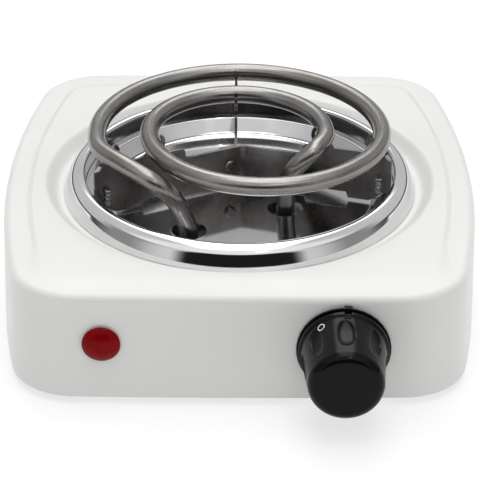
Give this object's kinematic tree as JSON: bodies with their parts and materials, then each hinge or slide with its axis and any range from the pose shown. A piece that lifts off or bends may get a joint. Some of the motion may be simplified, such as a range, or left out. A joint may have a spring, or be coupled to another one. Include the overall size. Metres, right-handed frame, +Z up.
{
  "type": "hot plate burner",
  "caption": "Table-top electric hot plate: pressed steel housing, tubular coil on a three-armed support over a drip bowl, front thermostat knob and indicator lamp.",
  "frame": {"origin": "on the table under the middle of the whole object's width and length, measured from the knob's face to the cord gland's end", "axes": "+Z up, -Y to the front where the knob and lamp are, +X to the right seen from the front"},
  "size_m": [0.2172, 0.263, 0.0808],
  "materials": {
    "white_paint": "semi-gloss stove enamel",
    "zinc_steel": "zinc plated",
    "chrome": "polished",
    "sheath_steel": "annealed, drawn tube",
    "support_steel": "pressed, unpolished",
    "black_plastic": "glossy moulding",
    "black_rubber": "matte",
    "red_lens": "glossy, translucent red",
    "white_plastic": "matte",
    "ceramic": "unglazed",
    "brass": "plain",
    "lead_insulation": "woven sleeve",
    "earth_insulation": "matte"
  },
  "bodies": {
    "base": {"housing": "white_paint", "base_plate": "zinc_steel", "foot_1": "black_rubber", "foot_2": "black_rubber", "foot_3": "black_rubber", "foot_4": "black_rubber", "foot_screw_1": "zinc_steel", "foot_screw_2": "zinc_steel", "foot_screw_3": "zinc_steel", "foot_screw_4": "zinc_steel", "trim_ring": "chrome", "drip_bowl": "chrome", "heating_element": "sheath_steel", "support_front": "support_steel", "support_rear": "support_steel", "support_rivet": "support_steel", "element_bridge": "zinc_steel", "element_seal_front": "ceramic", "element_seal_rear": "ceramic", "element_terminal_front": "zinc_steel", "element_terminal_rear": "zinc_steel", "indicator_lens": "red_lens", "lamp_body": "white_plastic", "lamp_clip": "zinc_steel", "dial_bezel": "black_plastic", "bush_nut": "brass", "thermostat_bush": "brass", "thermostat_bracket": "zinc_steel", "insulator_front": "ceramic", "bimetal": "brass", "insulator_middle": "ceramic", "contact_blade_moving": "brass", "insulator_rear": "ceramic", "contact_blade_fixed": "brass", "stack_rivet": "zinc_steel", "cord_gland": "black_rubber", "terminal_block": "ceramic", "terminal_screw_1": "brass", "terminal_screw_2": "brass", "terminal_screw_3": "brass", "block_screw": "zinc_steel", "earth_screw": "brass", "lead_live": "lead_insulation", "lead_neutral": "lead_insulation", "lead_earth": "earth_insulation", "lead_switched": "lead_insulation", "lamp_lead_neutral": "lead_insulation", "lamp_lead_switched": "lead_insulation"},
    "dial": {"knob": "black_plastic", "knob_clip": "zinc_steel", "control_shaft": "zinc_steel"},
    "pin": {"adjusting_pin": "ceramic"}
  },
  "joints": [
    {"name": "knob_turn", "type": "hinge", "parent": "base", "child": "dial", "pos_m": [0.0444, -0.1, 0.0291], "axis": [0, -1, 0], "range_deg": [-35, 235]},
    {"name": "pin_slide", "type": "slide", "parent": "base", "child": "pin", "axis": [0, 1, 0], "range_m": [-0.0001, 0.00066]}
  ],
  "couplings": [
    {"joint": "pin_slide", "follows": "knob_turn", "m_per_rad": 0.00016}
  ]
}
